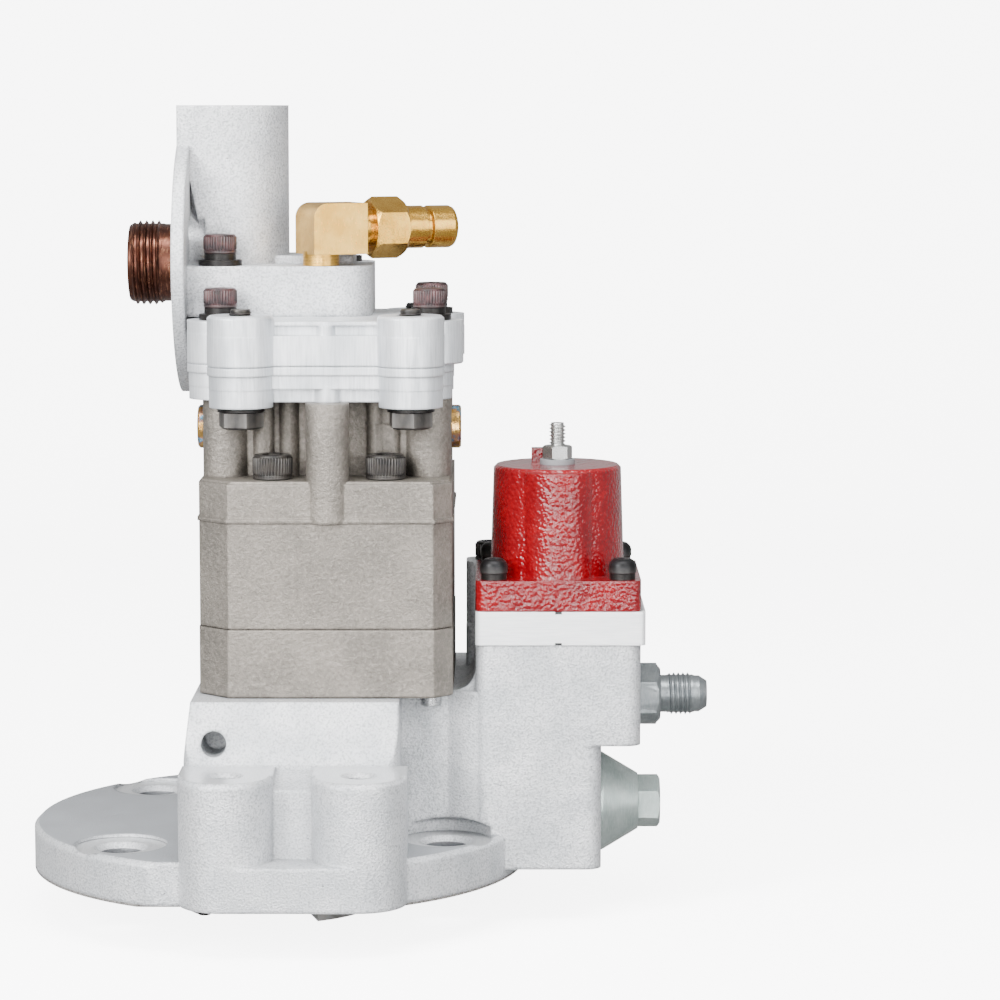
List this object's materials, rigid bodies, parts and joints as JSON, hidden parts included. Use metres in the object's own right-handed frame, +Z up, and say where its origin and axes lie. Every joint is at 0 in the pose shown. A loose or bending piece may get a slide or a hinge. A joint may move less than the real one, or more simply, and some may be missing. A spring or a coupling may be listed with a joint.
{
  "type": "diesel fuel pump",
  "caption": "Engine-mounted gear fuel pump on a round flange, with a jaw coupling, a pulsation damper, a spin-on filter head, a shut-off solenoid and a pressure regulator",
  "frame": {"origin": "on the axis of the drive shaft, in the mounting face of the flange", "axes": "+Z up along the drive shaft, +X from the shaft to the solenoid column, +Y from the picture's front to the back"},
  "size_m": [0.2249, 0.1745, 0.2669],
  "materials": {
    "cast_aluminium": "near white, matte, blasted sand casting",
    "machined_aluminium": "satin, fine machining marks",
    "pump_casting": "warm grey, coarse sand-cast grain",
    "bearing_steel": "ground, oiled",
    "coupling_steel": "turned and milled, satin",
    "black_steel": "black oxide, satin",
    "zinc_plate": "pale blue zinc plate, satin",
    "bright_steel": "bright plated",
    "yellow_zinc": "iridescent yellow plate",
    "brass": "bright forged and turned brass",
    "copper_plate": "dark copper brown plate",
    "bushing_bronze": "plain bronze",
    "red_paint": "gloss red paint with a fine hammered texture",
    "coil_copper": "enamelled copper wire",
    "nylon": "ivory moulded nylon",
    "gasket_fibre": "grey speckled pressed fibre",
    "seal_rubber": "black nitrile",
    "insulator": "grey moulded phenolic"
  },
  "bodies": {
    "pump_body": {"main_housing": "cast_aluminium", "filter_head": "cast_aluminium", "damper_lower_half": "cast_aluminium", "damper_upper_half": "cast_aluminium", "spacer_plate": "machined_aluminium", "gear_pump_base": "pump_casting", "gear_pump_body": "pump_casting", "gear_pump_cover": "pump_casting", "bearing_outer_races": "bearing_steel", "bearing_balls": "bearing_steel", "bearing_spacer": "bearing_steel", "gear_pump_dowels": "bearing_steel", "damper_diaphragm": "bearing_steel", "valve_seat": "bearing_steel", "valve_spring": "bearing_steel", "solenoid_core": "bearing_steel", "regulator_spring": "bearing_steel", "flange_dowel": "black_steel", "gear_pump_screws": "black_steel", "damper_clamp_bolts": "black_steel", "damper_bolt_washers": "black_steel", "damper_screws": "black_steel", "damper_screw_washers": "black_steel", "head_screws": "black_steel", "head_screw_washers": "black_steel", "solenoid_screws": "black_steel", "solenoid_lock_washers": "black_steel", "pillar_screw": "black_steel", "outlet_fitting": "zinc_plate", "regulator_cap": "zinc_plate", "terminal_stud": "bright_steel", "terminal_nut": "bright_steel", "side_port_plugs": "yellow_zinc", "brass_elbow": "brass", "brass_nipple": "brass", "filter_stud": "copper_plate", "gear_pump_bushings": "bushing_bronze", "solenoid_can": "red_paint", "solenoid_coil": "coil_copper", "mounting_gasket": "gasket_fibre", "shaft_seal": "seal_rubber", "spacer_seals": "seal_rubber", "terminal_insulator": "insulator"},
    "drive_train": {"drive_shaft": "bearing_steel", "bearing_inner_races": "bearing_steel", "drive_gear": "bearing_steel", "drive_gear_key": "bearing_steel", "coupling_half": "coupling_steel", "coupling_spider": "nylon", "coupling_screw": "black_steel"},
    "driven_gear_set": {"driven_shaft": "bearing_steel", "driven_gear": "bearing_steel"},
    "shutoff_valve": {"valve_disc": "bearing_steel"},
    "regulator_valve": {"regulator_plunger": "bearing_steel"}
  },
  "joints": [
    {"name": "drive_shaft_spin", "type": "hinge", "parent": "pump_body", "child": "drive_train", "pos_m": [0, 0, 0], "axis": [0, 0, 1], "continuous": true},
    {"name": "driven_gear_spin", "type": "hinge", "parent": "pump_body", "child": "driven_gear_set", "pos_m": [0.03, 0, 0.1008], "axis": [0, 0, 1], "continuous": true},
    {"name": "shutoff_valve_lift", "type": "slide", "parent": "pump_body", "child": "shutoff_valve", "axis": [0, 0, 1], "range_m": [0, 0.0008], "stiffness_N_per_m": 500, "springref_m": -0.01, "deforming": ["valve_spring"]},
    {"name": "regulator_slide", "type": "slide", "parent": "pump_body", "child": "regulator_valve", "axis": [1, 0, 0], "range_m": [0, 0.004], "stiffness_N_per_m": 800, "springref_m": -0.01}
  ],
  "couplings": [
    {"joint": "driven_gear_spin", "follows": "drive_shaft_spin", "ratio": -1}
  ]
}
